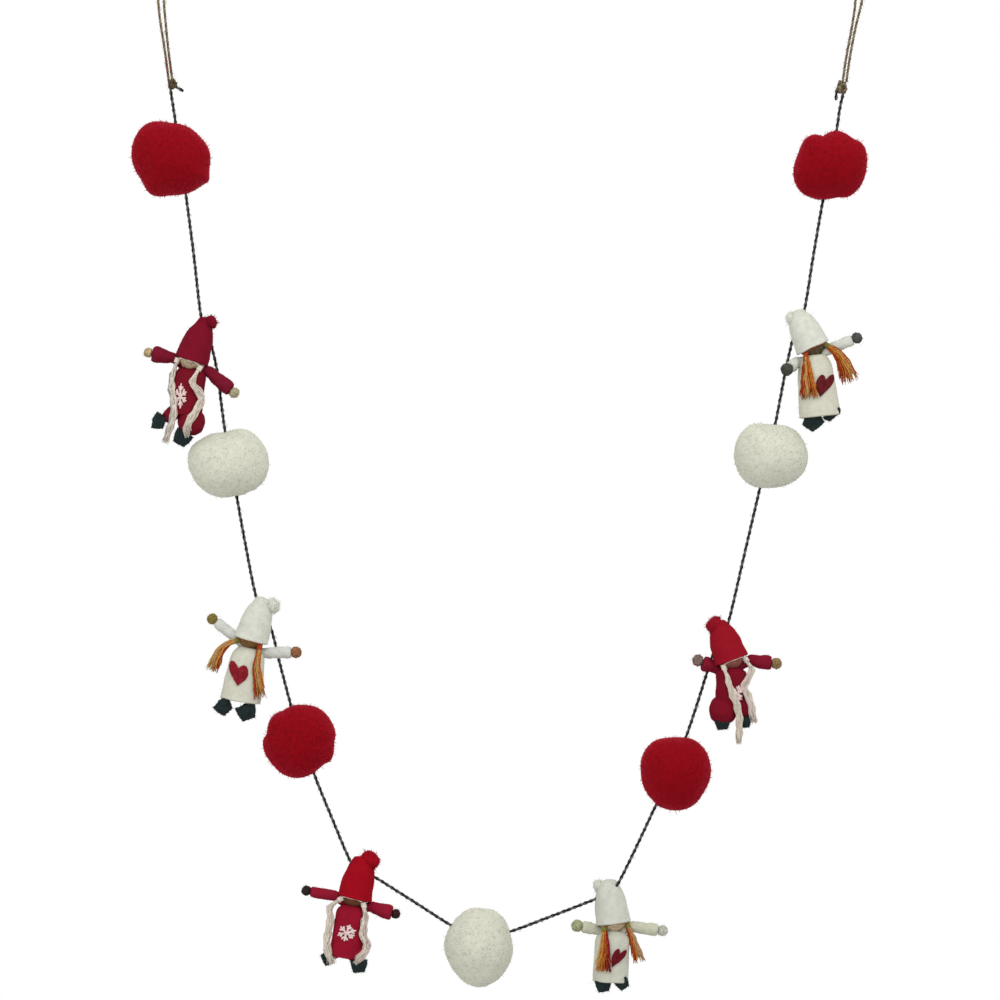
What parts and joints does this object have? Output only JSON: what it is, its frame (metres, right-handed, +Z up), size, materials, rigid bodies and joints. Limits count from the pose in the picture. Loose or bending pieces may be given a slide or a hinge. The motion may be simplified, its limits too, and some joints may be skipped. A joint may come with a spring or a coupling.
{
  "type": "knitted christmas garland",
  "caption": "Hanging garland of yarn pompoms and small knitted gnome dolls on a twisted cord with a twine hanging loop at each end.",
  "frame": {"origin": "top of the left hanging loop, where a hook or nail would carry it", "axes": "+X towards the right loop, +Z up, -Y towards the viewer"},
  "size_m": [0.4994, 0.054, 0.7026],
  "materials": {
    "red_yarn": "dense brushed wool yarn, matt",
    "white_yarn": "dense brushed wool yarn, matt",
    "cord_yarn": "two-ply twisted cotton, black with grey flecks",
    "twine": "rough jute twine",
    "face_yarn": "brown knitted yarn",
    "cream_yarn": "soft cream roving",
    "ginger_yarn": "orange, rust and straw yarn strands",
    "dark_felt": "very dark green felt",
    "red_felt": "red felt"
  },
  "bodies": {
    "root": {"cord": "cord_yarn", "loop_left": "twine", "loop_right": "twine", "knot_left": "twine", "knot_right": "twine", "pompom_1": "red_yarn", "pompom_2": "white_yarn", "pompom_3": "red_yarn", "pompom_4": "white_yarn", "pompom_5": "red_yarn", "pompom_6": "white_yarn", "pompom_7": "red_yarn", "gnome_1_hat": "red_yarn", "gnome_1_head": "face_yarn", "gnome_1_body": "red_yarn", "gnome_1_arms": "red_yarn", "gnome_1_hair": "cream_yarn", "gnome_1_shoe_l": "dark_felt", "gnome_1_shoe_r": "dark_felt", "gnome_2_hat": "white_yarn", "gnome_2_head": "face_yarn", "gnome_2_body": "white_yarn", "gnome_2_arms": "white_yarn", "gnome_2_hair": "ginger_yarn", "gnome_2_shoe_l": "dark_felt", "gnome_2_shoe_r": "dark_felt", "gnome_2_heart": "red_felt", "gnome_3_hat": "red_yarn", "gnome_3_head": "face_yarn", "gnome_3_body": "red_yarn", "gnome_3_arms": "red_yarn", "gnome_3_hair": "cream_yarn", "gnome_3_shoe_l": "dark_felt", "gnome_3_shoe_r": "dark_felt", "gnome_4_hat": "white_yarn", "gnome_4_head": "face_yarn", "gnome_4_body": "white_yarn", "gnome_4_arms": "white_yarn", "gnome_4_hair": "ginger_yarn", "gnome_4_shoe_l": "dark_felt", "gnome_4_shoe_r": "dark_felt", "gnome_4_heart": "red_felt", "gnome_5_hat": "red_yarn", "gnome_5_head": "face_yarn", "gnome_5_body": "red_yarn", "gnome_5_arms": "red_yarn", "gnome_5_hair": "cream_yarn", "gnome_5_shoe_l": "dark_felt", "gnome_5_shoe_r": "dark_felt", "gnome_6_hat": "white_yarn", "gnome_6_head": "face_yarn", "gnome_6_body": "white_yarn", "gnome_6_arms": "white_yarn", "gnome_6_hair": "ginger_yarn", "gnome_6_shoe_l": "dark_felt", "gnome_6_shoe_r": "dark_felt", "gnome_6_heart": "red_felt"}
  },
  "joints": []
}
